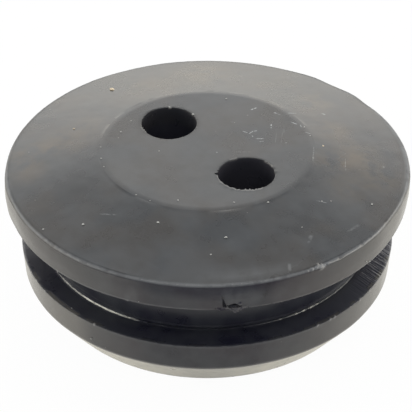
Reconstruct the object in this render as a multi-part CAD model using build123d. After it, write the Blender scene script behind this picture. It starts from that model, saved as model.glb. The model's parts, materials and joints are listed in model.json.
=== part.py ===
from build123d import *
import os
from math import radians, tan

# Tank gasket: one moulded rubber grommet that plugs the round hole in a fuel
# tank and grips two fuel lines. The tank's wall sits in the groove, between the
# cap outside the tank and the lip inside it, and the nose leads the lip in.
# Millimetres. The axis is Z, the nose stands on Z = 0, and the two line holes
# lie on the X axis.

# Neck and groove
NECK_DIAMETER = 22.0
GROOVE_WIDTH = 3.6          # takes the tank's wall
GROOVE_CORNER = 0.3         # inside radius under the cap

# Ridge that the mould's parting line leaves round the foot of the neck
RIDGE_PROUD = 0.22
RIDGE_HEIGHT = 0.25

# Cap, the wide flange outside the tank
CAP_OVERHANG = 2.5          # past the neck, all round
CAP_RIM_HEIGHT = 1.95
CAP_RIM_DRAFT = 2.0         # degrees, narrower towards the groove
CROWN_RISE = 1.2            # from the rim's upper edge to the flat disc
CREASE_RADIUS = 2.0         # where the crown's cone turns into the disc

# Lip, the narrower flange inside the tank, and the nose below it
LIP_OVERHANG = 1.65         # past the neck, all round
LIP_HEIGHT = 1.9
LIP_DRAFT = 4.5             # degrees, narrower towards the nose
NOSE_HEIGHT = 2.4
NOSE_LEAD_IN = 1.9          # taken off the radius over the nose's height

# The mould's plates part along the groove's two outer edges, which are sharp
EDGE_RADIUS = 0.12          # the outer edges away from the groove

# Holes for the fuel line and the return line, and the flat disc they open in
LINE_HOLE_DIAMETER = 3.75   # tight on a 5 mm line
LINE_HOLE_SPACING = 8.0
DISC_LAND = 1.175           # from a hole's wall to the disc's edge

# Tear in the cap's rim: an upright slit, and beside it a torn tongue that hangs
# below the rim's lower edge, with an open cut above it
TEAR_ANGLE = -35.7          # degrees round from +X to the slit
TEAR_DEPTH = 0.4
SLIT_WIDTH = 0.16
SLIT_HEIGHT = 1.0
TONGUE_OFFSET = 0.75        # from the slit to the tongue's middle
TONGUE_WIDTH = 0.7
TONGUE_DROP = 0.3
TONGUE_SET_BACK = 0.06      # behind the rim's face
TONGUE_CUT_HEIGHT = 0.22
TONGUE_CUT_LIFT = 0.12      # rubber left between the cut and the rim's edge

RUBBER_BLACK = (0.04, 0.04, 0.043)

# Heights of the section's corners, from the nose up
lip_foot = NOSE_HEIGHT
lip_top = lip_foot + LIP_HEIGHT
cap_foot = lip_top + GROOVE_WIDTH
rim_top = cap_foot + CAP_RIM_HEIGHT
disc_top = rim_top + CROWN_RISE

# Radii of the section's corners
neck_radius = NECK_DIAMETER / 2
ridge_radius = neck_radius + RIDGE_PROUD
cap_radius = neck_radius + CAP_OVERHANG
cap_foot_radius = cap_radius - CAP_RIM_HEIGHT * tan(radians(CAP_RIM_DRAFT))
lip_radius = neck_radius + LIP_OVERHANG
lip_foot_radius = lip_radius - LIP_HEIGHT * tan(radians(LIP_DRAFT))
nose_radius = lip_foot_radius - NOSE_LEAD_IN
line_hole_radius = LINE_HOLE_DIAMETER / 2
disc_radius = LINE_HOLE_SPACING / 2 + line_hole_radius + DISC_LAND


def half_section():
    """The section on one side of the axis, as (radius, height, corner radius) from the nose up."""
    return [
        (nose_radius, 0, EDGE_RADIUS),
        (lip_foot_radius, lip_foot, EDGE_RADIUS),
        (lip_radius, lip_top, 0),
        (ridge_radius, lip_top, 0),
        (ridge_radius, lip_top + RIDGE_HEIGHT, 0),
        (neck_radius, lip_top + RIDGE_HEIGHT, 0),
        (neck_radius, cap_foot, GROOVE_CORNER),
        (cap_foot_radius, cap_foot, 0),
        (cap_radius, rim_top, EDGE_RADIUS),
        (disc_radius, disc_top, CREASE_RADIUS),
    ]


def turned_body():
    """The half section turned round the axis, with no holes."""
    corners = half_section()
    path = [(0, 0)] + [(radius, height) for radius, height, _ in corners] + [(0, disc_top)]
    with BuildPart() as body:
        with BuildSketch(Plane.XZ):
            with BuildLine():
                outline = FilletPolyline(*path, radius=[bend for _, _, bend in corners])
                Line(outline @ 1, outline @ 0)
            make_face()
        revolve(axis=Axis.Z)
    return body.part


def line_holes():
    """The two cylinders that the fuel lines pass through."""
    spots = [Pos(side * LINE_HOLE_SPACING / 2, 0, 0) for side in (-1, 1)]
    bore = Cylinder(line_hole_radius, disc_top, align=(Align.CENTER, Align.CENTER, Align.MIN))
    return [spot * bore for spot in spots]


def rim_plane():
    """A plane on the rim's lower edge, over +X: its X runs along the rim, Y up, Z out of it."""
    return Plane(origin=(cap_radius, 0, cap_foot), x_dir=(0, 1, 0), z_dir=(1, 0, 0))


def turned_to_tear(outline):
    """An outline on the rim's plane, made TEAR_DEPTH deep into the rim and turned to the tear."""
    return Rot(0, 0, TEAR_ANGLE) * extrude(rim_plane() * outline, amount=-TEAR_DEPTH)


def tear_cuts():
    """The slit, and the open cut above the tongue."""
    half_cut = TONGUE_WIDTH / 2
    cut_foot = TONGUE_CUT_LIFT
    cut_top = TONGUE_CUT_LIFT + TONGUE_CUT_HEIGHT
    slit = Polygon((-SLIT_WIDTH / 2, 0), (SLIT_WIDTH / 2, 0), (0, SLIT_HEIGHT), align=None)
    opening = Polygon((-half_cut, cut_foot), (half_cut, cut_foot), (0, cut_top), align=None)
    return [turned_to_tear(outline) for outline in (slit, Pos(TONGUE_OFFSET, 0, 0) * opening)]


def torn_tongue():
    """The scrap of rubber that hangs below the rim, rooted in the cap's underside."""
    half_width = TONGUE_WIDTH / 2
    root = TONGUE_CUT_LIFT / 2
    set_back = cap_radius - cap_foot_radius + TONGUE_SET_BACK
    scrap = Polygon((-half_width, root), (0, -TONGUE_DROP), (half_width, root), align=None)
    return turned_to_tear(Pos(TONGUE_OFFSET, 0, -set_back) * scrap)


def tank_gasket():
    """The whole gasket, one solid."""
    gasket = turned_body() - line_holes() - tear_cuts() + torn_tongue()
    gasket.label = "tank_gasket"
    gasket.color = Color(*RUBBER_BLACK)
    return gasket


os.makedirs("parts", exist_ok=True)
export_step(tank_gasket(), "parts/tank_gasket.step")
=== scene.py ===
import json
import math

import bpy
import numpy as np
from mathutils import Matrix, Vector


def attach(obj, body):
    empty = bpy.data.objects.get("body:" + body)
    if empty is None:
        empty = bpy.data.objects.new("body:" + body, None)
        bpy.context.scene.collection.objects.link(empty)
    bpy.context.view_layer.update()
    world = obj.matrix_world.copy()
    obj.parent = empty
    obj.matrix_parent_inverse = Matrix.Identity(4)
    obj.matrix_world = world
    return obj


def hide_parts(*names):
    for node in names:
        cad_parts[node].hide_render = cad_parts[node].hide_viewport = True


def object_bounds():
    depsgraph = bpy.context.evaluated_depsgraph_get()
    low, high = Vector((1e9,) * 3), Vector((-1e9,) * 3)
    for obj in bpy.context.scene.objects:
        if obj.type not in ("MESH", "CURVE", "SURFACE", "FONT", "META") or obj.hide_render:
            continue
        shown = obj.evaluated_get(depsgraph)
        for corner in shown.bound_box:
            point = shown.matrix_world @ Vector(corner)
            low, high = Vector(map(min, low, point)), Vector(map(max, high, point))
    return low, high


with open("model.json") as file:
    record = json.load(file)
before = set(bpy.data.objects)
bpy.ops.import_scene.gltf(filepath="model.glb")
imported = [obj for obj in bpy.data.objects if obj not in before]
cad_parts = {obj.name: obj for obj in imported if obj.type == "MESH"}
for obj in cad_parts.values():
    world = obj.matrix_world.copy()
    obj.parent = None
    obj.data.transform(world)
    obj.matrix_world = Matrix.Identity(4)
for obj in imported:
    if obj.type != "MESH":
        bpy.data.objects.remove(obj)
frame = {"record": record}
cad_low, cad_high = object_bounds()

# Tank gasket: one moulded black rubber grommet. The axis is Z, the nose stands on
# Z = 0, and the two line holes lie on the X axis. Lengths below are millimetres and
# turns are degrees round from +X, until a modelling step needs metres.
MM = 0.001
mounts = {mount["name"]: mount for mount in frame["record"]["mounts"]}
groove = mounts["wall_groove"]
groove_middle = groove["pos_m"][2] / MM
groove_width = groove["dims"]["length_mm"]
neck_radius = groove["dims"]["r_mm"]
line_hole_radius = mounts["line_hole_right"]["dims"]["r_mm"]
line_hole_offset = mounts["line_hole_right"]["pos_m"][0] / MM

# The turned section, from the cap down to the nose
cap_radius = 13.5
disc_radius = 7.05
disc_top = cad_high.z / MM
fill_radius = disc_radius - 0.3    # inside this the disc is filled round the holes
lip_top = groove_middle - groove_width / 2
cap_foot = groove_middle + groove_width / 2
cap_foot_radius = cap_radius - 0.068
rim_top = cap_foot + 1.95
ridge_radius = neck_radius + 0.22
ridge_top = lip_top + 0.25
lip_radius = 12.69
lip_foot = 2.4
lip_foot_radius = 12.55
nose_radius = 10.66
nose_fill_radius = nose_radius - 0.4
collar_radius = 2.5                # the flat ring round each end of a line hole

TURN_STEPS = 600
SLEEVE_STEPS = 200
BEARING = 49.84                    # the camera's, in degrees round from -Y
FRONT = BEARING - 90               # the turn that faces the camera
RIM_DEGREE = 0.235                 # millimetres along the cap's rim in one degree
LAMP_DISTANCE = 0.7                # metres from the gasket to every lamp


# ---------------- picking and moving

def done():
    """Leaves edit mode."""
    if bpy.context.mode != "OBJECT":
        bpy.ops.object.mode_set(mode="OBJECT")


def clear():
    """Leaves nothing selected, ready for a new primitive."""
    done()
    bpy.ops.object.select_all(action="DESELECT")


def only(*pieces):
    """Leaves just these pieces selected, the first of them active."""
    clear()
    for piece in pieces:
        piece.select_set(True)
    bpy.context.view_layer.objects.active = pieces[0]


def pick_all(piece):
    """Opens a piece for editing, with all of it picked."""
    only(piece)
    bpy.ops.object.mode_set(mode="EDIT")
    bpy.ops.mesh.select_all(action="SELECT")


def begin(add, **given):
    """Adds a primitive and opens it for editing, with all of it picked."""
    clear()
    add(**given)
    pick_all(bpy.context.object)
    return bpy.context.object


def discard(piece):
    """Deletes a piece that has done its work."""
    only(piece)
    bpy.ops.object.delete()


def settle(piece):
    """Puts a piece's place, turn and size into its mesh."""
    only(piece)
    bpy.ops.object.transform_apply(location=True, rotation=True, scale=True)


def turn_piece(piece, turn):
    """Turns a piece round the gasket's axis, with its place put in its mesh."""
    settle(piece)
    piece.rotation_euler = (0, 0, math.radians(turn))
    settle(piece)


def stretch(value, centre):
    """Scales what is picked about a place."""
    bpy.ops.transform.resize(value=value, center_override=centre)


def spots(piece):
    """Every vertex of a piece in millimetres, one row each."""
    mesh = piece.data
    flat = np.empty(len(mesh.vertices) * 3)
    mesh.vertices.foreach_get("co", flat)
    return flat.reshape(-1, 3) / MM


def round_axis(points, middle=0.0):
    """Radius, turn and height of points about an upright line at x = middle."""
    radius = np.hypot(points[:, 0] - middle, points[:, 1])
    turn = np.degrees(np.arctan2(points[:, 1], points[:, 0] - middle))
    return radius, turn, points[:, 2]


def turn_from(turn, middle):
    """How far each turn is from the middle one, the short way round."""
    return (turn - middle + 180) % 360 - 180


def near_turn(turn, middle, span):
    """Whether each turn is within a span of the middle one."""
    return abs(turn_from(turn, middle)) < span


def held(values):
    """Values held between 0 and 1."""
    return np.clip(values, 0, 1)


def on_turn(turn, radius, height):
    """A place at a turn, radius and height."""
    a = math.radians(turn)
    return radius * math.cos(a), radius * math.sin(a), height


def both_ends(mesh, chosen):
    """The edges that have both ends among the chosen vertices."""
    ends = np.empty(len(mesh.edges) * 2, dtype=np.int32)
    mesh.edges.foreach_get("vertices", ends)
    ends = ends.reshape(-1, 2)
    return chosen[ends[:, 0]] & chosen[ends[:, 1]]


def open_with(piece, chosen, mode="VERT"):
    """Opens edit mode with the chosen vertices, or the chosen edges, picked."""
    mesh = piece.data
    only(piece)
    mesh.polygons.foreach_set("select", np.zeros(len(mesh.polygons), dtype=bool))
    if mode == "VERT":
        mesh.vertices.foreach_set("select", chosen)
        mesh.edges.foreach_set("select", both_ends(mesh, chosen))
    else:
        mesh.vertices.foreach_set("select", np.zeros(len(mesh.vertices), dtype=bool))
        mesh.edges.foreach_set("select", chosen)
    bpy.context.tool_settings.mesh_select_mode = (mode == "VERT", mode == "EDGE", False)
    bpy.ops.object.mode_set(mode="EDIT")
    if mode == "EDGE":
        bpy.ops.mesh.select_mode(type="EDGE")
    return int(np.count_nonzero(chosen))


def pick_points(piece, test):
    """Picks the vertices whose radius, turn and height pass the test."""
    return open_with(piece, test(*round_axis(spots(piece))))


def pick_ring(piece, radius, height):
    """Picks the ring of edges that runs round at this radius and height."""
    r, _, z = round_axis(spots(piece))
    on_ring = (abs(r - radius) < 0.004) & (abs(z - height) < 0.004)
    return open_with(piece, both_ends(piece.data, on_ring), "EDGE")


def pull(piece, place, move, reach, falloff):
    """Moves the vertex nearest a place, and what lies round it less and less to the reach."""
    away = np.linalg.norm(spots(piece) - np.array(place), axis=1)
    chosen = np.zeros(len(away), dtype=bool)
    chosen[int(away.argmin())] = True
    open_with(piece, chosen)
    bpy.ops.transform.translate(
        value=[length * MM for length in move],
        use_proportional_edit=True,
        proportional_edit_falloff=falloff,
        proportional_size=reach * MM,
    )
    done()


def press(piece, turn, radius, height, out, up, reach, falloff="SMOOTH"):
    """Pushes the surface near a place out and up, fading over the reach."""
    pull(piece, on_turn(turn, radius, height), on_turn(turn, out, up), reach, falloff)


def roughen(piece, test, amount, seed):
    """Shakes the vertices that pass the test by up to the amount."""
    if pick_points(piece, test):
        bpy.ops.transform.vertex_random(offset=amount * MM, uniform=0.0, normal=0.0, seed=seed)
    done()


def refine(piece, test, cuts):
    """Divides the faces whose corners pass the test, for a detail finer than the turning."""
    if pick_points(piece, test):
        bpy.ops.mesh.subdivide(number_cuts=cuts)
    done()


# ---------------- the moulded body

def draw_ring(start, end, middle=0.0):
    """Draws the picked ring on from one radius and height to the next, about x = middle."""
    lift = (0, 0, (end[1] - start[1]) * MM)
    bpy.ops.mesh.extrude_edges_move(TRANSFORM_OT_translate={"value": lift})
    swell = end[0] / start[0]
    stretch((swell, swell, 1), (middle * MM, 0, 0))


def outside_section():
    """The outside from the nose's flat foot to the disc: radius, height, rings, rounding."""
    return [
        (nose_fill_radius, 0, 0, 0),
        (nose_radius, 0, 1, 0.07),
        (lip_foot_radius, lip_foot, 9, 0.16),
        (lip_radius, lip_top, 9, 0.03),
        (ridge_radius, lip_top, 8, 0),
        (ridge_radius, ridge_top, 1, 0.06),
        (neck_radius, ridge_top + 0.16, 2, 0),
        (neck_radius, cap_foot, 9, 0.3),
        (cap_foot_radius, cap_foot, 8, 0.03),
        (cap_radius - 0.005, rim_top - 1.15, 5, 0),
        (cap_radius, rim_top - 0.75, 2, 0),
        (cap_radius - 0.01, rim_top - 0.4, 2, 0),
        (cap_radius - 0.02, rim_top, 2, 0.24),
        (disc_radius, disc_top, 30, 0.2),
        (fill_radius, disc_top, 1, 0),
    ]


def turned_outside():
    """The outside, drawn up ring by ring from a circle, with its corners rounded."""
    section = outside_section()
    piece = begin(bpy.ops.mesh.primitive_circle_add, vertices=TURN_STEPS, radius=nose_fill_radius * MM)
    piece.name = "moulded_gasket"
    last = section[0][:2]
    for radius, height, rings, _ in section[1:]:
        start = last
        for ring in range(1, rings + 1):
            part = ring / rings
            reached = (start[0] + (radius - start[0]) * part, start[1] + (height - start[1]) * part)
            draw_ring(last, reached)
            last = reached
    done()
    for radius, height, _, rounding in section[1:]:
        if rounding:
            pick_ring(piece, radius, height)
            segments = 6 if rounding > 0.15 else 4 if rounding > 0.05 else 2
            bpy.ops.mesh.bevel(offset=rounding * MM, segments=segments, profile=0.5, affect="EDGES")
            done()
    return piece


def line_sleeve(side):
    """The wall of one line hole, with a flat collar at each end."""
    middle = side * line_hole_offset
    r = line_hole_radius
    steps = [
        (2.3, disc_top), (2.16, disc_top), (2.04, disc_top), (r + 0.09, disc_top),
        (r + 0.055, disc_top - 0.003), (r + 0.03, disc_top - 0.01), (r + 0.013, disc_top - 0.022),
        (r + 0.004, disc_top - 0.045), (r, disc_top - 0.09), (r, disc_top - 0.16), (r, disc_top - 0.3),
        (r, disc_top - 0.8),
    ]
    steps += [(r, disc_top - 0.8 - (disc_top - 1.1) * n / 9) for n in range(1, 10)]
    steps += [(r + 0.02, 0.06), (r + 0.07, 0), (2.15, 0), (collar_radius, 0)]
    sleeve = begin(
        bpy.ops.mesh.primitive_circle_add,
        vertices=SLEEVE_STEPS, radius=collar_radius * MM, location=(middle * MM, 0, disc_top * MM),
    )
    last = (collar_radius, disc_top)
    for reached in steps:
        draw_ring(last, reached, middle)
        last = reached
    settle(sleeve)
    return sleeve


def close_flat(piece, height, outer_radius):
    """Fills the flat between the outer ring and the two collars at one end."""
    points = spots(piece)
    edge = abs(round_axis(points)[0] - outer_radius) < 0.004
    for middle in (line_hole_offset, -line_hole_offset):
        edge |= abs(round_axis(points, middle)[0] - collar_radius) < 0.004
    edge &= abs(points[:, 2] - height) < 0.002
    open_with(piece, both_ends(piece.data, edge), "EDGE")
    bpy.ops.mesh.fill(use_beauty=True)
    done()


def gasket_blank():
    """The whole gasket before its marks: the turned outside, the holes, and both flats."""
    piece = turned_outside()
    sleeves = [line_sleeve(side) for side in (-1, 1)]
    only(piece, *sleeves)
    bpy.ops.object.join()
    close_flat(piece, disc_top, fill_radius)
    close_flat(piece, 0, nose_fill_radius)
    pick_all(piece)
    bpy.ops.mesh.remove_doubles(threshold=0.002 * MM)
    bpy.ops.mesh.normals_make_consistent(inside=False)
    done()
    return piece


# ---------------- marks of the mould and of use

def uneven_rim(piece):
    """The cap's outline, a little out of round: swollen on one side, dented on another."""
    for turn, below, out, reach in ((60, 0.4, 0.15, 7.5), (82, 0.4, 0.06, 5.0)):
        press(piece, turn, cap_radius, rim_top - below, out, 0, reach)
    press(piece, -118, cap_foot_radius, cap_foot + 0.2, 0.04, -0.03, 2.4)
    for turn, below, out, reach in (
        (42, 0.4, 0.06, 2.6), (240, 0.75, 0.08, 3.0), (22, 0.75, -0.07, 2.4), (97, 0.4, 0.045, 5.0),
        (165, 0.4, -0.045, 3.4),
    ):
        press(piece, turn, cap_radius, rim_top - below, out, 0, reach)
    for turn, out, reach in ((106, 0.07, 1.9), (97.5, -0.06, 1.6), (90, 0.08, 1.7), (83.5, -0.05, 1.5)):
        press(piece, turn, cap_radius - 0.01, rim_top - 0.4, out, 0, reach)


def wavy_skin(piece):
    """A slow unevenness all over the moulded skin, a few hundredths deep."""
    radius, _, height = round_axis(spots(piece))
    flat = (radius < disc_radius + 0.2) | (height < 0.05)
    group = piece.vertex_groups.new(name="skin")
    group.add([int(i) for i in np.flatnonzero(~flat)], 1.0, "REPLACE")
    for name, size, depth in (("slow waves", 3.2, 0.035), ("small waves", 0.9, 0.012)):
        waves = bpy.data.textures.new(name, "CLOUDS")
        waves.noise_scale = size * MM
        waves.noise_depth = 2
        only(piece)
        bpy.ops.object.modifier_add(type="DISPLACE")
        displace = piece.modifiers[-1]
        displace.texture = waves
        displace.texture_coords = "LOCAL"
        displace.direction = "NORMAL"
        displace.mid_level = 0.5
        displace.strength = depth * MM
        displace.vertex_group = "skin"
        bpy.ops.object.modifier_apply(modifier=displace.name)
    piece.vertex_groups.remove(piece.vertex_groups["skin"])


def rim_edge_marks(piece):
    """Nicks and beads on the cap's upper edge, and the scab of rubber left on it."""

    def near_edge(r, t, z):
        return (r > cap_radius - 0.25) & (z > rim_top - 0.2) & (z < rim_top + 0.06)

    def near_scab(r, t, z):
        return (r > cap_radius - 0.6) & near_turn(t, -9.2, 3.6) & (z > rim_top - 0.45)

    def on_scab(r, t, z):
        return near_scab(r, t, z) & (z > rim_top - 0.3) & (r > cap_radius - 0.3)

    roughen(piece, near_edge, 0.008, 3)
    for turn, out, up in (
        (-90.5, -0.05, -0.03), (-88.2, -0.02, -0.04), (-86.6, -0.07, -0.03), (-84.3, -0.03, -0.03),
        (-81.8, -0.02, -0.03), (-95.0, -0.03, -0.03), (-74.5, -0.03, -0.04), (-68.0, -0.03, -0.04),
        (-22.0, -0.04, -0.03), (-2.0, -0.05, -0.04), (6.5, -0.05, -0.03), (19.0, -0.03, -0.04),
    ):
        press(piece, turn, cap_radius, rim_top, out, up, 0.3, "SHARP")
    refine(piece, near_scab, 2)
    for turn, inward, down, out, up, reach in (
        (-9.0, 0.16, 0.0, 0.0, 0.10, 0.17), (-8.3, 0.02, 0.14, 0.10, 0.04, 0.22),
        (-7.4, 0.02, 0.12, 0.08, 0.02, 0.16), (-9.8, 0.06, 0.05, 0.05, 0.04, 0.15),
        (-7.9, 0.14, 0.0, 0.0, 0.06, 0.12), (-11.3, 0.05, 0.06, 0.06, 0.03, 0.17),
        (-12.5, 0.04, 0.06, 0.04, 0.02, 0.12), (-5.9, 0.04, 0.06, 0.04, 0.03, 0.13),
        (-9.0, 0.01, 0.22, 0.05, 0.0, 0.13),
    ):
        press(piece, turn, cap_radius - inward, rim_top - down, out, up, reach)
    roughen(piece, on_scab, 0.012, 8)
    press(piece, -61.6, cap_foot_radius, cap_foot + 0.02, 0.05, 0.0, 0.1)


def carve(piece, cutter):
    """Cuts one shape out of the gasket."""
    only(piece)
    bpy.ops.object.modifier_add(type="BOOLEAN")
    cut = piece.modifiers[-1]
    cut.operation = "DIFFERENCE"
    cut.solver = "EXACT"
    cut.object = cutter
    bpy.ops.object.modifier_apply(modifier=cut.name)
    discard(cutter)


def slit_cutter():
    """The thin wedge that opens the rim upright, leaning a little as it rises."""
    middle, tall = cap_foot + 0.66, 0.9
    centre = ((cap_radius - 0.1) * MM, 0, middle * MM)
    wedge = begin(bpy.ops.mesh.primitive_cube_add, size=MM, location=centre)
    stretch((0.6, 0.22, tall), centre)
    bpy.ops.mesh.subdivide(number_cuts=3)
    settle(wedge)
    for level in range(5):
        height = middle - tall / 2 + tall / 4 * level
        open_with(wedge, abs(spots(wedge)[:, 2] - height) < 0.02)
        stretch((1, 1 - 0.12 * level, 1), centre)
        bpy.ops.transform.translate(value=(0, -0.04 * level * MM, 0))
    pick_all(wedge)
    bpy.ops.transform.vertex_random(offset=0.02 * MM, seed=4)
    turn_piece(wedge, -35.5)
    return wedge


def gash_cutter(turn, height, size, seed, lean):
    """A ragged lens, flat below, that opens the rim and leans along it."""
    place = (cap_radius * MM, 0, height * MM)
    gash = begin(bpy.ops.mesh.primitive_ico_sphere_add, subdivisions=3, radius=0.5 * MM, location=place)
    bpy.ops.transform.vertex_random(offset=0.045 * MM, seed=seed)
    stretch(size, place)
    done()
    open_with(gash, spots(gash)[:, 2] < 0)
    stretch((1, 1, 0.2), place)
    pick_all(gash)
    bpy.ops.transform.rotate(value=math.radians(lean), orient_axis="X", center_override=place)
    turn_piece(gash, turn)
    return gash


def torn_rim(piece):
    """The tear in the cap's rim: an upright slit, an open gash, and the strip that hangs below."""

    def near_tear(r, t, z):
        beside = (r > cap_radius - 0.9) & near_turn(t, -33.6, 5.0)
        return beside & (z < rim_top - 0.5) & (z > cap_foot - 0.1)

    def hanging(r, t, z):
        beside = (r > cap_radius - 0.45) & near_turn(t, -33.6, 4.4)
        return beside & (z < cap_foot + 0.25) & (z > cap_foot - 0.5)

    refine(piece, near_tear, 2)
    for turn, below, out, up, reach in (
        (-32.6, 0, 0.04, -0.17, 0.5), (-32.8, 0.17, 0.05, -0.12, 0.16), (-32.0, 0.14, 0.03, -0.06, 0.12),
        (-31.1, 0, 0.05, -0.12, 0.18), (-33.7, 0, 0.03, -0.08, 0.16), (-36.9, 0, 0.06, -0.06, 0.2),
        (-36.0, 0, 0.04, -0.05, 0.12),
    ):
        press(piece, turn, cap_foot_radius, cap_foot - below, out, up, reach)
    press(piece, -31.4, cap_radius, cap_foot + 0.42, 0.06, 0.0, 0.14)
    roughen(piece, hanging, 0.03, 12)
    carve(piece, slit_cutter())
    for turn, above, size, seed, lean in (
        (-34.7, 0.28, (0.32, 0.34, 0.16), 5, 18), (-33.7, 0.24, (0.90, 0.44, 0.36), 6, -14),
        (-32.9, 0.20, (0.90, 0.56, 0.54), 9, 12), (-31.8, 0.17, (0.50, 0.44, 0.22), 11, -10),
        (-34.0, 0.12, (0.30, 0.30, 0.12), 13, 12),
    ):
        carve(piece, gash_cutter(turn, cap_foot + above, size, seed, lean))


def lip_wedge(middle, turn, length, width, depth):
    """A wedge whose thin edge points away from a hole's middle, to split the hole's lip."""
    reach = line_hole_radius + length
    start = line_hole_radius - 0.12
    wedge = begin(bpy.ops.mesh.primitive_cube_add, size=MM)
    stretch((reach - start, width, depth), (0, 0, 0))
    lift = disc_top + 0.2 - depth / 2
    bpy.ops.transform.translate(value=((reach + start) / 2 * MM, 0, lift * MM))
    done()
    open_with(wedge, spots(wedge)[:, 0] > reach - 0.02)
    stretch((1, 0.06, 1), (reach * MM, 0, 0))
    done()
    points = spots(wedge)
    open_with(wedge, (points[:, 0] > reach - 0.02) & (points[:, 2] < disc_top - 0.3))
    bpy.ops.transform.translate(value=(-length * 0.9 * MM, 0, 0))
    turn_piece(wedge, turn)
    wedge.location = (middle * MM, 0, 0)
    settle(wedge)
    return wedge


def torn_hole_lips(piece):
    """The holes' upper lips, torn and feathered where the pins were pulled."""
    right, left = line_hole_offset, -line_hole_offset

    def lip_at(middle, turn, out, up, reach, falloff="SHARP"):
        """Moves one point of a hole's lip away from the hole's middle."""
        x, y, z = on_turn(turn, line_hole_radius + 0.035, disc_top - 0.01)
        pull(piece, (middle + x, y, z), on_turn(turn, out, up), reach, falloff)

    for middle, seed in ((right, 21), (left, 34)):
        from_middle, _, height = round_axis(spots(piece), middle)
        open_with(piece, (from_middle < line_hole_radius + 0.15) & (height > disc_top - 0.12))
        bpy.ops.transform.vertex_random(offset=0.016 * MM, seed=seed)
        done()
    carve(piece, lip_wedge(right, 229.5, 0.27, 0.50, 1.6))
    carve(piece, lip_wedge(right, 218.0, 0.10, 0.34, 0.9))
    for middle, turn, out, reach in (
        (left, 139.8, 0.13, 2.7), (left, -40.2, 0.09, 2.7), (left, 185, 0.08, 1.4),
        (left, 95, 0.05, 1.4), (right, 100, 0.07, 1.6),
    ):
        lip_at(middle, turn, out, 0, reach, "SMOOTH")
    for turn, out, up in (
        (-56, -0.07, 0.02), (-49, -0.05, 0.03), (-43, -0.14, 0.05), (-39, -0.05, 0.02),
        (-34, -0.16, 0.04), (-29, -0.06, 0.02), (-22, -0.08, 0.03), (-17, -0.05, 0.02),
        (-8, -0.05, 0.02),
    ):
        lip_at(right, turn, out, up, 0.16)
    for turn, out, up in (
        (262, -0.04, 0.03), (277, -0.04, 0.03), (292, -0.05, 0.03), (75, -0.05, 0.02), (58, -0.06, 0.03),
    ):
        lip_at(right, turn, out, up, 0.25, "SMOOTH")
    for turn, out, up in (
        (256, -0.10, 0.03), (263, -0.08, 0.02), (249, -0.06, 0.02), (139, -0.05, 0.05), (85, -0.06, 0.05),
    ):
        lip_at(left, turn, out, up, 0.18)


def ragged_groove_edges(piece):
    """The edges where the mould's plates part: crumbs on the lip's edge and a rough ridge."""

    def lip_edge(r, t, z):
        return (r > lip_radius - 0.05) & (abs(z - lip_top) < 0.05)

    def right_lip_edge(r, t, z):
        return lip_edge(r, t, z) & near_turn(t, 6, 16)

    def ridge_crest(r, t, z):
        return (abs(r - ridge_radius) < 0.12) & (z > lip_top + 0.1) & (z < ridge_top + 0.05)

    def cap_edge(r, t, z):
        return (abs(r - cap_foot_radius) < 0.05) & (abs(z - cap_foot) < 0.05)

    roughen(piece, lip_edge, 0.008, 15)
    roughen(piece, right_lip_edge, 0.014, 16)
    for turn, out, up, reach in (
        (-74.7, 0.02, 0.13, 0.14), (-6.0, 0.06, 0.12, 0.22), (-1.1, 0.03, 0.12, 0.14),
        (0.5, 0.03, 0.11, 0.13), (12.2, 0.04, 0.08, 0.2), (-97.0, 0.03, 0.05, 0.2),
        (130.0, 0.05, 0.08, 0.25), (171.0, 0.05, 0.08, 0.25),
    ):
        press(piece, turn, lip_radius, lip_top, out, up, reach, "SHARP")
    roughen(piece, ridge_crest, 0.02, 18)
    roughen(piece, cap_edge, 0.012, 19)


def ridge_inset(turn):
    """How far the ridge has worn back into the neck: most in front, where it is gone."""
    thin = held(np.minimum((turn + 72) / 12, (80 - turn) / 12))
    gone = held(np.minimum((turn + 62) / 6, (-22 - turn) / 8))
    return 0.15 * thin + 0.06 * gone


def ridge_drop(turn):
    """How far the ridge's top has worn down."""
    return 0.92 * ridge_inset(turn)


def thin_ridge(piece):
    """The ridge is a wide flash on one side of the neck, and a thin line in front and on the right."""
    for turn in range(-71, 80, 2):
        def near(r, t, z):
            beside = (r > ridge_radius - 0.08) & (r < ridge_radius + 0.06) & (t >= turn - 1) & (t < turn + 1)
            return beside & (z > lip_top - 0.08) & (z < ridge_top + 0.06)

        if pick_points(piece, near):
            shrink = 1 - float(ridge_inset(turn)) / ridge_radius
            squash = 1 - float(ridge_drop(turn)) / (ridge_top - lip_top)
            stretch((shrink, shrink, squash), (0, 0, lip_top * MM))
        done()


def lean_cap(piece):
    """Tips the cap a fifth of a degree towards the camera's side."""
    turn_piece(piece, BEARING + 80.3)
    open_with(piece, spots(piece)[:, 2] > cap_foot - 0.5)
    bpy.ops.transform.rotate(value=math.radians(0.2), orient_axis="X", center_override=(0, 0, cap_foot * MM))
    turn_piece(piece, -BEARING - 80.3)


# ---------------- wear, painted light and painted shade, kept on the mesh

def soft_patch(points, x, y, reach):
    """1 in the middle of a round patch on the cap's top, falling to 0 at its reach."""
    left = held(1 - np.hypot(points[:, 0] - x, points[:, 1] - y) / reach)
    return left ** 2 * (3 - 2 * left)


def arc(turn, middle, half_span):
    """1 at the middle of an arc, falling to 0 at its ends."""
    return held(1 - abs(turn_from(turn, middle)) / half_span) ** 0.6


def keep(piece, name, values):
    """Keeps one value for every vertex on the mesh, under a name that the finish reads."""
    layer = piece.data.attributes.new(name, "FLOAT", "POINT")
    layer.data.foreach_set("value", np.asarray(values, dtype=np.float32))


def foot_wear(radius, turn, height):
    """1 along the cap's lower edge, where it is rubbed, and nearly 0 from the tear to the right."""
    foot = held(1.2 - np.hypot(radius - cap_foot_radius, height - cap_foot) / 0.13)
    return foot * (1 - 0.9 * held((turn + 50) / 15))


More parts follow.
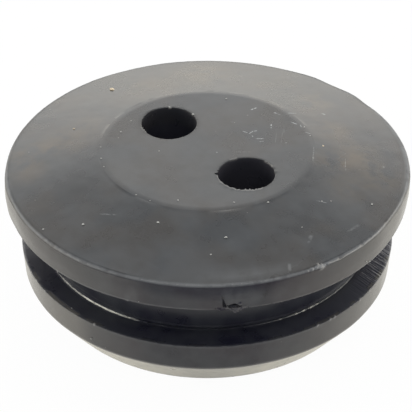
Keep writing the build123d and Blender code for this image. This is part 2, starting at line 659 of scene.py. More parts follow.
def paint_ridge(piece):
    """Keeps how bright the ridge's pale crest is painted round the neck, partly flash and partly a painted
    highlight, and how far each point is from it.
    """
    radius, turn, height = round_axis(spots(piece))
    crest_radius = ridge_radius - ridge_inset(turn)
    crest_top = ridge_top - ridge_drop(turn)
    from_crest = np.hypot(radius - crest_radius, height - crest_top)
    left_side = held(np.minimum((turn + 104) / 20, (-63 - turn) / 6))
    left_side *= 0.45 + 0.55 * held((turn + 94) / 10)
    right_side = 0.3 * held(np.minimum((turn + 26) / 16, (24 - turn) / 22))
    for middle, half_span, amount in (
        (-14.9, 0.6, 0.8), (-8.6, 1.2, 1.0), (-5.6, 1.3, 0.85), (-2.4, 1.7, 1.0), (0.3, 0.8, 0.9),
        (5.0, 3.0, 0.45), (12.5, 7.0, 0.4),
    ):
        right_side = np.maximum(right_side, amount * arc(turn, middle, half_span))
    ridge = np.maximum.reduce([left_side, right_side, 0.4 * arc(turn, 150, 60)])
    keep(piece, "ridge_flash", ridge * (from_crest < 0.5))
    from_crest *= 1 + (abs(turn) < 60) * held(1.3 - 1.3 * right_side)
    keep(piece, "from_crest", np.minimum(from_crest, 0.5))


def paint_scuffs(piece):
    """Keeps where torn rubber is scuffed pale: the tear, the scab, the holes' lips and the crumbs."""
    points = spots(piece)
    radius, turn, height = round_axis(points)
    tear = (radius > cap_radius - 0.3) & near_turn(turn, -32.3, 3.0)
    tear &= (height < cap_foot + 0.14) & (height > cap_foot - 0.6)
    upper_lobe = np.hypot(turn_from(turn, -9.0) * RIM_DEGREE, radius - cap_radius + 0.13) / 0.13
    lower_lobe = np.hypot(turn_from(turn, -8.1) * RIM_DEGREE, height - rim_top + 0.13) / 0.23
    scab = np.maximum(1 - upper_lobe, (1 - lower_lobe) * (radius > cap_radius - 0.15))
    scab = held(1.6 * scab) * (height > rim_top - 0.36)
    nub = near_turn(turn, -61.6, 0.3) & (abs(height - cap_foot) < 0.1) & (radius > cap_radius - 0.3)
    flash = np.zeros(len(radius))
    for middle, width, spans in (
        (line_hole_offset, 0.1, ((-28, 20, 0.4), (89, 13, 0.35), (-62, 8, 0.3), (166, 8, 0.25))),
        (-line_hole_offset, 0.15, ((257, 11, 0.2), (139, 2.6, 0.8), (85, 2.6, 0.8))),
    ):
        from_middle, hole_turn, _ = round_axis(points, middle)
        lip = (from_middle < line_hole_radius + width) & (height > disc_top - 0.12)
        for span_middle, span, strength in spans:
            flash = np.maximum(flash, lip * strength * near_turn(hole_turn, span_middle, span))
    crumbs = (radius > lip_radius - 0.03) & (height > lip_top + 0.03) & (height < lip_top + 0.3)
    from_right_hole, right_hole_turn, _ = round_axis(points, line_hole_offset)
    thin_line = (abs(from_right_hole - line_hole_radius - 0.055) < 0.02) & (height > disc_top - 0.03)
    thin_line = 0.3 * thin_line * near_turn(right_hole_turn, 278, 43)
    pale = np.maximum.reduce([0.08 * tear, 0.32 * scab, 0.2 * nub, 0.7 * flash, 0.35 * crumbs, thin_line])
    keep(piece, "pale_rubber", pale)


def paint_edges(piece):
    """Keeps where the edges are worn pale; along the cap's upper edge the pale paint is also a painted
    highlight.
    """
    radius, turn, height = round_axis(spots(piece))
    from_edge = np.hypot(radius - cap_radius, height - rim_top)
    # painted highlight: the pale band along the cap's upper edge stands in for the edge's highlight line
    edge = held(1.3 - (from_edge - 0.08) / 0.09)
    edge_top = 0.45 * held(1.3 - (from_edge - 0.1) / 0.10) * (height > rim_top - 0.03)
    near_rim = held(1 - abs(radius - 12.85) / 0.75) * arc(turn, -27, 17) * (height > rim_top)
    foot = foot_wear(radius, turn, height)
    lip_edge = held(1 - np.hypot(radius - lip_radius, height - lip_top) / 0.1)
    worn = np.maximum.reduce([edge, edge_top, 0.3 * near_rim, 0.4 * foot, 0.4 * lip_edge])
    keep(piece, "worn_edge", worn)


def paint_tear(piece):
    """Keeps where the inside of the tear is painted lighter, as painted light in its shade, most in the slit.
    """
    radius, turn, height = round_axis(spots(piece))
    inside = (radius < cap_foot_radius - 0.035) & (radius > cap_radius - 0.8)
    inside &= (height > cap_foot + 0.02) & (height < cap_foot + 1.3)
    slit = inside & near_turn(turn, -35.6, 0.8)
    gash = inside & near_turn(turn, -32.9, 1.9)
    keep(piece, "torn", np.maximum(1.0 * slit, 0.4 * gash))


def paint_dull(piece):
    """Keeps the holes' walls, painted lighter as light in their dark bores, and where their lips and the
    cap's edges are rubbed dull.
    """
    points = spots(piece)
    radius, turn, height = round_axis(points)
    from_edge = np.hypot(radius - cap_radius, height - rim_top)
    bore, dull = np.zeros(len(radius)), np.zeros(len(radius))
    for middle, amount in ((line_hole_offset, 1.0), (-line_hole_offset, 0.5)):
        from_wall = round_axis(points, middle)[0] - line_hole_radius
        # the bores are painted lighter, as light in their dark
        bore = np.maximum(bore, amount * (from_wall < 0.3) * (height > 0.1) * (height < disc_top - 0.03))
        dull = np.maximum(dull, held(1 - from_wall / 0.4) * (height > disc_top - 0.2))
    keep(piece, "bore_dust", bore)
    far_edge = held((abs(turn_from(turn, FRONT)) - 80) / 20) * held(1.6 - from_edge / 0.2)
    ends = held(1.5 - from_edge / 0.25) * np.maximum(2.0 * arc(turn, -102, 42), 1.5 * arc(turn, 48, 34))
    foot = foot_wear(radius, turn, height)
    keep(piece, "dull_lip", np.maximum.reduce([dull, 1.3 * far_edge, ends, 1.6 * foot]))


def patches(piece, table):
    """The sum of soft patches on the cap's top, each given by its x, y, reach and amount."""
    points = spots(piece)
    total = np.zeros(len(points))
    for x, y, reach, amount in table:
        total += amount * soft_patch(points, x, y, reach)
    return total


def paint_top(piece):
    """Keeps where the grey film is wiped thin or lies thick, and where the top is stained brown."""
    radius, turn, height = round_axis(spots(piece))
    on_top = height > rim_top - 0.05
    film = patches(piece, (
        (-2.1, -8.6, 1.9, -0.5), (-4.6, -8.2, 2.6, -0.3), (-8.0, -6.0, 3.0, 0.35), (-10.6, -3.0, 3.2, 0.2),
        (0.2, -10.6, 2.4, 0.3), (3.4, -10.4, 2.0, -0.2), (-0.9, 6.6, 1.1, -0.7), (0.8, 6.5, 1.0, -0.5),
        (4.7, 6.5, 2.0, 0.3), (9.0, 6.4, 2.6, 0.3), (10.6, 3.6, 1.8, -0.3), (8.3, 0.4, 2.2, 0.3),
        (11.2, -1.0, 1.1, 0.6), (5.2, -9.0, 1.8, 0.25), (7.2, -6.2, 1.6, -0.2), (-5.4, 10.2, 3.0, 0.2),
        (1.2, 10.6, 2.4, -0.2), (-10.8, 4.4, 2.6, 0.15), (-1.0, -3.4, 2.4, 0.2), (1.0, 3.6, 2.4, 0.25),
        (10.0, -0.9, 2.3, -1.2), (2.4, -11.6, 1.8, -0.9), (3.9, 8.8, 1.2, -1.2), (3.6, -7.3, 1.5, 0.4),
        (2.2, -9.9, 1.8, -0.3), (10.6, 3.0, 1.6, 0.3), (6.2, -8.6, 1.6, 0.5),
    ))
    film += 0.9 * held(1 - abs(radius - 12.5) / 0.9) * arc(turn, -29, 19)
    keep(piece, "film", film * on_top)
    brown = patches(piece, (
        (-7.5, -6.4, 2.6, 0.7), (-7.8, -3.9, 2.2, 0.4), (6.6, 7.6, 2.6, 0.9), (3.6, 8.3, 2.2, 0.7),
        (9.2, 7.2, 2.2, 0.6), (-8.2, 6.8, 3.4, 0.6), (8.9, 4.6, 2.2, 0.5), (-9.5, 2.4, 2.6, 0.3),
        (0.6, 9.0, 2.4, 0.4), (-4.5, 0.2, 1.8, 0.3), (6.3, 5.6, 2.0, 0.8), (-0.4, 10.5, 2.0, 0.6),
        (-8.1, -8.8, 2.4, 0.7), (-6.4, -10.2, 2.0, 0.5),
    ))
    keep(piece, "brown", brown * on_top)


def paint_sides(piece):
    """Keeps the lip's trimmed face, the smudges on the sides, a painted sheen on the sides and a painted
    reflection on the nose.
    """
    radius, turn, height = round_axis(spots(piece))
    on_lip = (abs(height - lip_top) < 0.06) & (radius > ridge_radius - 0.02)
    cut_side = held((turn - 8) / 16) * held((64 - turn) / 20)
    keep(piece, "trimmed", on_lip * np.maximum(cut_side, 0.1))

    # Painted sheen: the sides are painted paler away from the front, differently on the left and the right
    cap_band = (radius > cap_radius - 0.2) & (height < rim_top - 0.05)
    band = cap_band | ((radius > lip_radius - 0.25) & (height < lip_top))
    on_cap = height > cap_foot - 0.1
    off_front = turn_from(turn, FRONT)
    from_front, left = abs(off_front), off_front < 0
    before = held((150 - from_front) / 60)
    far_left = held((np.where(left, from_front, 0) - 36) / 14) * before
    far_right = held((np.where(left, 0, from_front) - 60) / 20) * before
    aside = held((from_front - 14) / 60)
    aside *= 1 + before * np.where(left, -0.15 * far_left * on_cap, 0.12)
    aside += band * (1.2 * far_left * ~on_cap + 0.5 * far_right * on_cap)
    lip_sheen = 0.35 + 0.1 * before * np.where(left, -1, 1) * held(from_front / 10)
    keep(piece, "side_haze", np.maximum(band, lip_sheen * on_lip) * aside)

    smudge = np.zeros(len(radius))
    for middle, level, wide, tall, amount in (
        (-34.2, 9.0, 0.6, 1.0, 0.42), (-32.0, 9.0, 0.5, 1.0, 0.38), (-28.8, 8.9, 1.0, 1.1, 0.32),
        (-60.4, 8.5, 0.4, 0.8, 0.3), (-61.3, 8.1, 0.4, 0.5, 0.35), (-20.5, 8.9, 1.0, 1.1, 0.12),
        (-68.5, 8.9, 0.9, 1.1, 0.15),
    ):
        away = np.hypot(turn_from(turn, middle) * math.radians(cap_radius) / wide, (height - level) / tall)
        smudge = np.maximum(smudge, amount * held(1 - away) ** 0.7)
    keep(piece, "smudge", smudge * band)
    keep(piece, "band", band)

    # Painted reflection: the nose is painted pale, as the white sheet it reflects, more so away from the
    # front
    nose = held((lip_foot - height) / 0.27) * (height > 0.02) * (radius > nose_radius - 0.1)
    # Painted shadow: the paint is left off the foot in front, so the black rubber shows as a dark contact
    # line
    nose *= 1 - 0.9 * held(1 - (height - 0.04) / 0.12) * arc(turn, -36, 30)
    paleness = 0.68 + 0.32 * held((from_front - 4) / 16) + 0.12 * held((from_front - 20) / 20)
    paleness += 0.12 * (1 - height / lip_foot) - 0.04
    keep(piece, "nose_chalk", nose * paleness)


# ---------------- dust

def crown_height(radius):
    """The height of the cap's top at a radius."""
    if radius <= disc_radius:
        return disc_top
    return disc_top - (radius - disc_radius) * (disc_top - rim_top) / (cap_radius - disc_radius)


def crumb(name, seed):
    """One grain a millimetre in radius, a flattened ball shaken out of round."""
    grain = begin(bpy.ops.mesh.primitive_ico_sphere_add, subdivisions=2, radius=MM)
    grain.name = name
    stretch((1.3, 1.0, 0.5), (0, 0, 0))
    bpy.ops.transform.vertex_random(offset=0.2 * MM, seed=seed)
    done()
    return grain


def settled_crumbs(finishes):
    """Grains of dust stuck to the rubber where they have settled."""
    on_top = [
        # turn, radius, size, finish
        (178, 10.86, 0.13, "tan"), (-148.8, 9.58, 0.06, "tan"), (-93.6, 13.0, 0.05, "pale"),
        (-85.8, 11.03, 0.07, "pale"), (-61.1, 8.68, 0.06, "pale"), (-33.0, 9.56, 0.065, "pale"),
        (-38.9, 10.94, 0.045, "pale"), (-57.1, 6.38, 0.05, "pale"), (-24.9, 6.55, 0.045, "pale"),
        (-8.1, 7.36, 0.05, "pale"), (23.6, 11.9, 0.055, "pale"), (53.0, 7.79, 0.06, "tan"),
        (-162.9, 6.16, 0.035, "pale"), (-148.7, 6.13, 0.045, "pale"), (-123.2, 3.22, 0.035, "pale"),
        (166.8, 5.72, 0.045, "pale"), (152.6, 4.26, 0.045, "pale"), (127.7, 6.32, 0.05, "pale"),
        (-120.0, 7.12, 0.04, "pale"), (-112.0, 7.14, 0.035, "pale"), (-131.0, 7.1, 0.035, "pale"),
        (62.0, 7.12, 0.035, "pale"), (71.0, 7.1, 0.04, "pale"), (40.0, 7.14, 0.04, "pale"),
        (-80.0, 7.12, 0.035, "pale"), (-71.0, 7.14, 0.03, "pale"), (12.7, 9.29, 0.04, "pale"),
        (15.3, 9.71, 0.045, "pale"), (110.0, 9.2, 0.035, "pale"), (-4.0, 10.2, 0.035, "pale"),
    ]
    on_sides = [
        # turn, radius, height, size
        (8.8, 13.45, 8.21, 0.055), (10.4, 13.44, 8.0, 0.06), (-76.6, 12.58, 2.92, 0.08),
        (-71.6, 12.53, 2.66, 0.04), (-58.5, 13.45, 8.05, 0.03), (-85.4, 12.36, 4.3, 0.035),
    ]
    shapes = {"pale": crumb("pale_crumb", 31), "tan": crumb("tan_crumb", 32)}
    placed = []

    def lay(shape, place, size, spin):
        """One copy of a grain, at its place on the rubber."""
        only(shapes[shape])
        bpy.ops.object.duplicate()
        grain = bpy.context.object
        grain.scale = (size, size, size)
        grain.rotation_euler = (0, 0, math.radians(spin))
        grain.location = [length * MM for length in place]
        settle(grain)
        grain.data.materials.clear()
        grain.data.materials.append(finishes[shape])
        placed.append(grain)

    for number, (turn, radius, size, shape) in enumerate(on_top):
        lay(shape, on_turn(turn, radius, crown_height(radius) + size * 0.2), size * 1.15, number * 47)
    for number, (turn, radius, height, size) in enumerate(on_sides):
        lay("pale", on_turn(turn, radius + size * 0.2, height), size, number * 61)
    for shape in shapes.values():
        discard(shape)
    only(*placed)
    bpy.ops.object.join()
    crumbs = bpy.context.object
    crumbs.name = "dust_crumbs"
    bpy.ops.object.shade_smooth()
    return crumbs


# ---------------- making nodes

def feed(tree, value, socket):
    """Links an output to a socket, or sets the socket's own value."""
    if isinstance(value, bpy.types.NodeSocket):
        tree.links.new(value, socket)
    else:
        socket.default_value = value


def node(tree, kind, *values, settings=None, **named):
    """A node with its settings: values feed its sockets in order, and named ones by name."""
    made = tree.nodes.new("ShaderNode" + kind)
    for name, setting in (settings or {}).items():
        setattr(made, name, setting)
    for socket, value in zip(made.inputs, values):
        feed(tree, value, socket)
    for name, value in named.items():
        feed(tree, value, made.inputs[name])
    return made


def sums(tree, operation, *values, clamp=False):
    """A Math node over the values."""
    return node(tree, "Math", *values, settings={"operation": operation, "use_clamp": clamp}).outputs[0]


def times(tree, first, second, clamp=False):
    """One value times another."""
    return sums(tree, "MULTIPLY", first, second, clamp=clamp)


def vectors(tree, operation, first, second):
    """A Vector Math node over two places."""
    return node(tree, "VectorMath", first, second, settings={"operation": operation}).outputs


def ramp(tree, value, low, high, to_low=0.0, to_high=1.0):
    """Smoothly maps a value between two levels."""
    smooth = {"interpolation_type": "SMOOTHSTEP"}
    return node(tree, "MapRange", value, low, high, to_low, to_high, settings=smooth).outputs[0]


def tint(tree, amount, under, over):
    """One colour laid over another by an amount."""
    made = node(tree, "Mix", settings={"data_type": "RGBA"})
    for index, value in ((0, amount), (6, under), (7, over)):
        feed(tree, value, made.inputs[index])
    return made.outputs[2]


def lay_over(tree, colour, *layers):
    """Layers over a colour, each an amount and the layer's own red, green and blue."""
    for amount, over in layers:
        colour = tint(tree, amount, colour, (*over, 1))
    return colour


def blend(tree, amount, under, over):
    """One shader laid over another by an amount."""
    return node(tree, "MixShader", amount, under, over).outputs[0]


def noise(tree, place, size, detail=2.0, roughness=0.5):
    """Noise whose blotches are about the size, in millimetres, across."""
    per_metre = 1 / (size * MM)
    return node(
        tree, "TexNoise", Vector=place, Scale=per_metre, Detail=detail, Roughness=roughness, Distortion=0.0
    ).outputs["Fac"]


def painted(tree, name):
    """The value that the mesh keeps under a name."""
    return node(tree, "Attribute", settings={"attribute_name": name}).outputs["Fac"]


def placed_group(tree, group, place, **values):
    """A group set into a material, reading a place."""
    return node(tree, "Group", settings={"node_tree": group}, Place=place, **values).outputs


def new_group(name, inputs, output):
    """An empty node group that reads a place and named values: returns it, its inputs and its end."""
    group = bpy.data.node_groups.new(name, "ShaderNodeTree")
    face = group.interface
    face.new_socket(name="Place", in_out="INPUT", socket_type="NodeSocketVector")
    for socket, default in inputs.items():
        kind = "NodeSocketVector" if isinstance(default, tuple) else "NodeSocketFloat"
        face.new_socket(name=socket, in_out="INPUT", socket_type=kind).default_value = default
    for socket in output:
        face.new_socket(name=socket, in_out="OUTPUT", socket_type="NodeSocketFloat")
    return group, group.nodes.new("NodeGroupInput").outputs, group.nodes.new("NodeGroupOutput").inputs


def new_finish(name):
    """An empty material with its shader: returns material, tree, shader and Object place."""
    finish = bpy.data.materials.new(name)
    finish.use_nodes = True
    tree = finish.node_tree
    return finish, tree, tree.nodes["Principled BSDF"].inputs, node(tree, "TexCoord").outputs["Object"]


# ---------------- finishes

def bloom_group():
    """The grey film that rubber sweats: broad patches, warm in places and cool in others."""
    group, given, made = new_group("sweated bloom", {"Amount": 1.0}, ("Film", "Warmth"))
    place = given["Place"]
    broad = noise(group, place, 5.0, 3.0)
    fine = noise(group, place, 1.0)
    film = ramp(group, sums(group, "ADD", times(group, broad, 0.7), times(group, fine, 0.3)), 0.36, 0.66)
    feed(group, times(group, film, given["Amount"]), made["Film"])
    shifted = vectors(group, "ADD", place, (0.3, 0.1, 0.2))[0]
    feed(group, ramp(group, noise(group, shifted, 4.0), 0.4, 0.6), made["Warmth"])
    return group


def grain_group():
    """The fine pebble that the mould leaves in the rubber."""
    group, given, made = new_group("moulded grain", {}, ("Height",))
    pebble = noise(group, given["Place"], 0.11, 2.0, 0.6)
    swell = noise(group, given["Place"], 0.45)
    feed(group, sums(group, "ADD", times(group, pebble, 0.6), times(group, swell, 0.4)), made["Height"])
    return group


def dust_group():
    """Specks of fine dust, round points of a few sizes in a share of the cells."""
    group, given, made = new_group("settled dust", {"Spacing": 0.6, "Share": 0.1}, ("Specks",))
    per_metre = sums(group, "DIVIDE", 1 / MM, given["Spacing"])
    first_nearest = {"feature": "F1"}
    cells = node(group, "TexVoronoi", settings=first_nearest, Vector=given["Place"], Scale=per_metre).outputs
    pick = node(group, "SeparateColor", cells["Color"]).outputs
    chosen = sums(group, "LESS_THAN", pick["Red"], given["Share"])
    speck_size = sums(group, "MULTIPLY_ADD", pick["Green"], 0.05, 0.03)
    core = sums(group, "LESS_THAN", cells["Distance"], speck_size)
    feed(group, times(group, chosen, core), made["Specks"])
    return group


def rub_group():
    """One straight rub mark on a flat place, given its middle, turn, length, width and grain."""
    shape = {"Middle": (0.0, 0.0, 0.0), "Turn": 0.0, "Length": 1.0, "Width": 0.1, "Grain": 0.15}
    group, given, made = new_group("rub mark", shape, ("Mark",))
    offset = vectors(group, "SUBTRACT", given["Place"], given["Middle"])[0]
    back = times(group, given["Turn"], -math.pi / 180)
    turned = node(group, "VectorRotate", settings={"rotation_type": "Z_AXIS"}, Vector=offset, Angle=back)
    axes = node(group, "SeparateXYZ", turned.outputs[0]).outputs
    ragged = noise(group, given["Place"], 0.15)
    feed(group, sums(group, "DIVIDE", 1 / MM, given["Grain"]), ragged.node.inputs["Scale"])
    half_length = times(group, given["Length"], MM / 2)
    half_width = times(group, given["Width"], MM / 2)
    along = sums(group, "DIVIDE", sums(group, "ABSOLUTE", axes["X"]), half_length)
    across = sums(group, "DIVIDE", sums(group, "ABSOLUTE", axes["Y"]), half_width)
    inside = times(group, ramp(group, along, 1.0, 0.5), ramp(group, across, 1.0, 0.2))
    feed(group, times(group, inside, ramp(group, ragged, 0.38, 0.58)), made["Mark"])
    return group


def filmed_colour(tree, place, height, bloom):
    """The rubber's colour under its grey film, which is thin where it was wiped, with painted shade on the
    neck and a painted sheen on the sides, and the film.
    """
    sweat = placed_group(tree, bloom, place, Amount=1.0)
    film = sums(tree, "MULTIPLY_ADD", painted(tree, "film"), 0.6, sweat["Film"])
    bare = times(tree, film, -1.0, clamp=True)
    film = sums(tree, "MAXIMUM", film, 0.0)
    below = tint(tree, sweat["Warmth"], (0.010, 0.0105, 0.018, 1), (0.0165, 0.013, 0.020, 1))
    # Painted shade: the neck and the lip's upper face, under the cap, are painted darker and bluer than the
    # bands
    below = tint(tree, painted(tree, "band"), (0.0095, 0.0098, 0.0205, 1), below)
    above = tint(tree, sweat["Warmth"], (0.0135, 0.0155, 0.0185, 1), (0.020, 0.017, 0.015, 1))
    base = tint(tree, ramp(tree, height, (rim_top - 0.15) * MM, rim_top * MM), below, above)
    stain = ramp(tree, noise(tree, place, 1.6, 3.0, 0.55), 0.3, 0.6)
    stain = times(tree, stain, painted(tree, "brown"), clamp=True)
    colour = lay_over(
        tree, base,
        (times(tree, film, 0.5, clamp=True), (0.051, 0.056, 0.062)),
        (bare, (0.004, 0.0045, 0.006)),
        (stain, (0.072, 0.054, 0.034)),
    )
    # painted sheen on the sides: cool on the lip's upper face, warm on the bands
    side_sheen = tint(tree, painted(tree, "band"), (0.084, 0.085, 0.108, 1), (0.11, 0.105, 0.097, 1))
    return tint(tree, painted(tree, "side_haze"), colour, side_sheen), film


def rub_marks(tree, axes, rub):
    """Short rubs on the cap's top, each placed one by one."""
    flat_place = node(tree, "CombineXYZ", axes["X"], axes["Y"]).outputs[0]
    marks = None
    for x, y, turn, length, width, strength in (
        (5.1, 4.95, -45, 2.1, 0.10, 0.35), (1.3, -9.35, 38, 1.3, 0.16, 0.2),
        (11.2, -1.0, 118, 0.9, 0.35, 0.22), (7.0, 6.1, -43, 1.6, 0.09, 0.3),
        (9.1, 2.0, 40, 0.8, 0.09, 0.4), (12.3, -3.7, 140, 0.8, 0.3, 0.16),
        (1.4, 9.3, 10, 0.5, 0.25, 0.4), (-1.65, 5.6, 84, 0.6, 0.14, 1.0),
        (-1.3, 4.7, 80, 0.18, 0.14, 0.7), (-0.16, 6.42, 16, 0.6, 0.14, 0.7),
        (0.78, 5.05, -44, 0.62, 0.12, 1.0), (0.55, 3.85, 70, 0.22, 0.14, 1.0),
        (0.48, 3.5, 100, 0.55, 0.11, 1.0), (0.2, 3.22, 20, 0.45, 0.1, 0.9),
        (0.85, 3.3, 150, 0.3, 0.1, 0.7), (1.45, 3.45, 50, 0.6, 0.08, 1.0),
        (1.76, 3.3, 60, 0.4, 0.08, 0.8), (0.42, 7.3, 60, 0.7, 0.13, 0.6),
        (1.5, 6.5, 14, 0.6, 0.12, 0.7), (2.05, 6.62, 150, 0.35, 0.1, 0.8),
        (2.97, 4.43, 45, 0.16, 0.13, 0.8), (3.0, 6.4, 25, 0.5, 0.09, 0.6),
        (2.0, 4.4, -46, 1.8, 0.07, 0.2), (2.35, 4.6, -46, 2.0, 0.06, 0.2),
        (1.7, 5.4, -44, 0.9, 0.07, 0.25), (-1.34, 3.32, 45, 0.3, 0.26, 0.12),
        (1.44, 2.01, 50, 0.3, 0.22, 0.16), (0.85, 0.16, 40, 0.14, 0.12, 0.6),
        (2.0, 1.6, 50, 1.3, 0.07, 0.2), (-0.9, 9.6, 60, 0.7, 0.08, 0.3),
        (8.3, 8.3, 38, 0.35, 0.2, 0.5), (12.0, 2.0, 95, 1.4, 0.25, 0.16),
    ):
        shape = {"Turn": turn, "Length": length, "Width": width, "Grain": 0.15 if width < 0.2 else 0.6}
        mark = placed_group(tree, rub, flat_place, Middle=(x * MM, y * MM, 0), **shape)["Mark"]
        mark = times(tree, mark, strength)
        marks = mark if marks is None else sums(tree, "MAXIMUM", marks, mark)
    return times(tree, marks, ramp(tree, axes["Z"], rim_top * MM, (rim_top + 0.05) * MM))


def wiped_line(tree, axes, rub):
    """One dark line wiped across the smudges on the rim."""
    round_rim = times(tree, sums(tree, "ARCTAN2", axes["Y"], axes["X"]), cap_radius * MM)
    rim_place = node(tree, "CombineXYZ", round_rim, axes["Z"]).outputs[0]
    line = {"Middle": (math.radians(-24.8) * cap_radius * MM, 8.9 * MM, 0), "Turn": 70}
    wiped = placed_group(tree, rub, rim_place, **line, Length=1.9, Width=0.5, Grain=0.9)["Mark"]
    return times(tree, times(tree, wiped, painted(tree, "band")), 0.7)


def rubber_relief(tree, place, grain):
    """Trimming lines on the lip's upper face, and the mould's grain everywhere."""
    drawn_out = {"Rotation": (0, 0, math.radians(-5)), "Scale": (0.06, 1.0, 1.0)}
    lines = noise(tree, node(tree, "Mapping", Vector=place, **drawn_out).outputs[0], 0.13, 1.0)
    lines = times(tree, lines, painted(tree, "trimmed"))
    cut = node(tree, "Bump", Distance=0.035 * MM, Height=lines).outputs["Normal"]
    pebble = placed_group(tree, grain, place)["Height"]
    return node(tree, "Bump", Distance=0.0035 * MM, Height=pebble, Normal=cut).outputs["Normal"]


def moulded_rubber(bloom, grain, dust, rub):
    """The gasket's black rubber skin, with bloom, dust, rubs, trimming lines and pale scuffs, and painted
    sheen, reflection, highlights, light and shade.
    """
    finish, tree, shader, place = new_finish("moulded black rubber")
    axes = node(tree, "SeparateXYZ", place).outputs
    colour, film = filmed_colour(tree, place, axes["Z"], bloom)
    reflection_mottle = ramp(tree, noise(tree, place, 0.9, 4.0, 0.65), 0.2, 0.6, 0.7, 1.0)
    patchy = ramp(tree, noise(tree, place, 0.8, 3.0, 0.6), 0.3, 0.6, 0.55, 1.0)
    marks = rub_marks(tree, axes, rub)
    colour = lay_over(
        tree, colour,
        # painted reflection of the white sheet on the nose, pale and mottled
        (times(tree, reflection_mottle, painted(tree, "nose_chalk"), clamp=True), (0.42, 0.395, 0.318)),
        # worn edges with a painted highlight along the cap's upper edge, painted light in the holes and
        # inside the tear, and the rubs
        (times(tree, patchy, painted(tree, "worn_edge")), (0.145, 0.15, 0.156)),
        # painted light on the holes' dark walls
        (painted(tree, "bore_dust"), (0.036, 0.036, 0.045)),
        # painted light inside the tear, most in the slit
        (painted(tree, "torn"), (0.125, 0.125, 0.14)),
        (marks, (0.40, 0.42, 0.43)),
        # smudges wiped on to the rim, and one dark line wiped across them
        (times(tree, painted(tree, "smudge"), patchy), (0.10, 0.104, 0.109)),
        (wiped_line(tree, axes, rub), (0.004, 0.004, 0.006)),
    )
    specks = placed_group(tree, dust, place, Spacing=0.6, Share=0.05)["Specks"]
    crest = ramp(tree, painted(tree, "from_crest"), 0.085, 0.045)
    broken = ramp(tree, noise(tree, place, 0.35, 3.0, 0.7), 0.36, 0.54, 0.4, 1.0)
    paleness = ramp(tree, noise(tree, place, 0.2, 3.0, 0.6), 0.3, 0.52, 0.35, 1.0)
    scuffed = times(tree, painted(tree, "pale_rubber"), paleness)
    colour = lay_over(
        tree, colour,
        (times(tree, specks, 0.7), (0.28, 0.27, 0.25)),
        # the pale flash along the ridge's crest, partly a painted highlight, broken into bright glints where
        # it is thin
        (times(tree, times(tree, crest, painted(tree, "ridge_flash")), broken), (0.70, 0.695, 0.63)),
        # pale scuffs on the torn edges
        (scuffed, (0.50, 0.49, 0.47)),
    )
    feed(tree, colour, shader["Base Color"])

    roughness = sums(tree, "MULTIPLY_ADD", film, 0.05, 0.265)
    roughness = sums(tree, "MULTIPLY_ADD", painted(tree, "dull_lip"), 0.22, roughness)
    roughness = sums(tree, "MULTIPLY_ADD", painted(tree, "band"), -0.10, roughness)
    rubbed = sums(tree, "MAXIMUM", scuffed, marks)
    feed(tree, sums(tree, "MULTIPLY_ADD", rubbed, 0.3, roughness, clamp=True), shader["Roughness"])
    feed(tree, rubber_relief(tree, place, grain), shader["Normal"])
    feed(tree, 1.5, shader["IOR"])
    return finish


def crumb_finish(name, colour, shade, bloom):
    """The finish of one kind of dust grain."""
    finish, tree, shader, place = new_finish(name)
    film = placed_group(tree, bloom, place, Amount=1.0)["Film"]
    feed(tree, tint(tree, film, colour, shade), shader["Base Color"])
    feed(tree, 0.8, shader["Roughness"])
    return finish


# ---------------- studio

def sheet_finish():
    """The sheet's finish: white to the camera, shaded in the rubber's gloss, clear from below."""
    finish = bpy.data.materials.new("white sheet")
    finish.use_nodes = True
    tree = finish.node_tree
    tree.nodes.clear()
    paper = node(tree, "BsdfDiffuse", Color=(0.85, 0.85, 0.85, 1)).outputs[0]
    backing = node(tree, "Emission", Strength=1.0).outputs[0]

    # In the rubber's gloss the sheet is warm white, and falls away dim in front and far beyond
    a = math.radians(BEARING)
    place = node(tree, "TexCoord").outputs["Object"]
    towards = vectors(tree, "DOT_PRODUCT", place, (math.sin(a), -math.cos(a), 0))["Value"]
    falling = ramp(tree, towards, 20.5 * MM, 28.5 * MM)
    gloss_light = tint(tree, falling, (0.94, 0.92, 0.86, 1), (0.20, 0.195, 0.245, 1))
    gloss_light = tint(tree, ramp(tree, towards, -24 * MM, -45 * MM), gloss_light, (0.22, 0.23, 0.25, 1))
    glossy = node(tree, "Emission", Color=gloss_light).outputs[0]

    rays = node(tree, "LightPath").outputs
    sheet = blend(tree, times(tree, rays["Is Camera Ray"], 0.965), paper, backing)
    sheet = blend(tree, rays["Is Glossy Ray"], sheet, glossy)
    below = node(tree, "NewGeometry").outputs["Backfacing"]
    node(tree, "OutputMaterial", blend(tree, below, sheet, node(tree, "BsdfTransparent").outputs[0]))
    return finish


def white_floor():
    """A plain white sheet just under the gasket, which keeps a soft shadow."""
    clear()
    bpy.ops.mesh.primitive_plane_add(size=3.0, location=(0, 0, -0.01 * MM))
    floor = bpy.context.object
    settle(floor)
    floor.name = "floor"
    floor.data.materials.append(sheet_finish())


def studio_world():
    """A dim room with a white backdrop."""
    world = bpy.data.worlds.new("studio")
    world.use_nodes = True
    tree = world.node_tree
    tree.nodes.clear()
    room = node(tree, "Background", Color=(0.88, 0.93, 1.0, 1), Strength=0.3).outputs[0]
    backdrop = node(tree, "Background", Strength=1.0).outputs[0]
    seen = node(tree, "LightPath").outputs["Is Camera Ray"]
    node(tree, "OutputWorld", blend(tree, seen, room, backdrop))
    bpy.context.scene.world = world


def softbox(name, azimuth, elevation, width, height, radiance, colour):
    """A soft lamp 0.7 m from the gasket at a bearing, facing it, with the radiance it shows."""
    clear()
    a, e = math.radians(azimuth), math.radians(elevation)
    out, up = LAMP_DISTANCE * math.cos(e), LAMP_DISTANCE * math.sin(e)
    bpy.ops.object.light_add(type="AREA", location=(out * math.sin(a), -out * math.cos(a), up))
    lamp = bpy.context.object
    lamp.name = name
    lamp.rotation_euler = (math.radians(90 - elevation), 0, a)
    lamp.data.shape = "RECTANGLE"
    lamp.data.size = width
    lamp.data.size_y = height
    lamp.data.energy = radiance * math.pi * width * height
    lamp.data.color = colour
    lamp.visible_camera = False


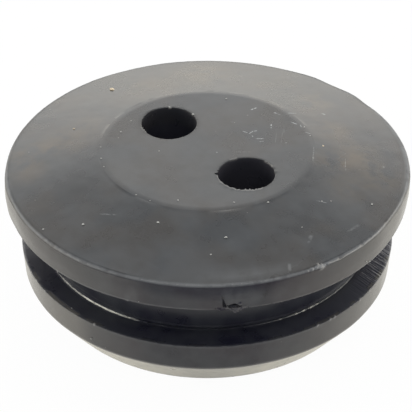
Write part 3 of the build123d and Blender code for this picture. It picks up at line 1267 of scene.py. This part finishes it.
def studio_lamps():
    """A broad window beyond the gasket, softboxes overhead and in front, and a card on each side."""
    beyond, left, right = BEARING + 180, BEARING - 95, BEARING + 95
    warm, plain, neutral, cool = (1.0, 0.955, 0.86), (1.0, 0.985, 0.955), (1.0, 1.0, 0.99), (0.95, 0.985, 1.0)
    softbox("window foot", beyond, 10, 1.3, 0.22, 2.15, warm)
    softbox("window", beyond, 27, 1.3, 0.22, 2.1, plain)
    softbox("window head", beyond, 46, 1.2, 0.24, 1.3, plain)
    softbox("ceiling", beyond, 66, 0.9, 0.24, 0.8, cool)
    softbox("top softbox", beyond, 88, 0.4, 0.4, 2.0, neutral)
    softbox("front softbox", BEARING, 52, 0.8, 0.24, 1.8, plain)
    softbox("left card", left, 12, 0.9, 0.28, 4.4, warm)
    softbox("right card", right, 12, 0.9, 0.28, 3.6, warm)
    softbox("right softbox", right, 45, 0.9, 0.30, 0.9, plain)


def camera():
    """The camera, above and in front of the gasket."""
    clear()
    tilt = (math.radians(54.94), 0, math.radians(BEARING))
    bpy.ops.object.camera_add(location=(0.07888, -0.06665, 0.07877), rotation=tilt)
    made = bpy.context.object
    made.data.sensor_width = 36
    made.data.lens = 161.5
    made.data.clip_start = 0.005
    made.data.clip_end = 10
    bpy.context.scene.camera = made


def main():
    camera()
    gasket = gasket_blank()
    for mark in (
        uneven_rim, wavy_skin, rim_edge_marks, torn_rim, torn_hole_lips, ragged_groove_edges, thin_ridge,
        paint_ridge, paint_scuffs, paint_edges, paint_tear, paint_dull, paint_top, paint_sides,
    ):
        mark(gasket)
    bloom, grain, dust, rub = bloom_group(), grain_group(), dust_group(), rub_group()
    gasket.data.materials.append(moulded_rubber(bloom, grain, dust, rub))
    only(gasket)
    bpy.ops.object.shade_smooth_by_angle(angle=math.radians(32))
    crumbs = settled_crumbs({
        "pale": crumb_finish("pale dust", (0.42, 0.42, 0.40, 1), (0.30, 0.30, 0.29, 1), bloom),
        "tan": crumb_finish("tan grit", (0.62, 0.52, 0.38, 1), (0.50, 0.42, 0.30, 1), bloom),
    })
    lean_cap(gasket)
    lean_cap(crumbs)
    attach(gasket, "root")
    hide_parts("tank_gasket")
    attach(crumbs, "root")
    white_floor()
    studio_world()
    studio_lamps()
    clear()


main()
bpy.context.scene.view_settings.view_transform = "Standard"
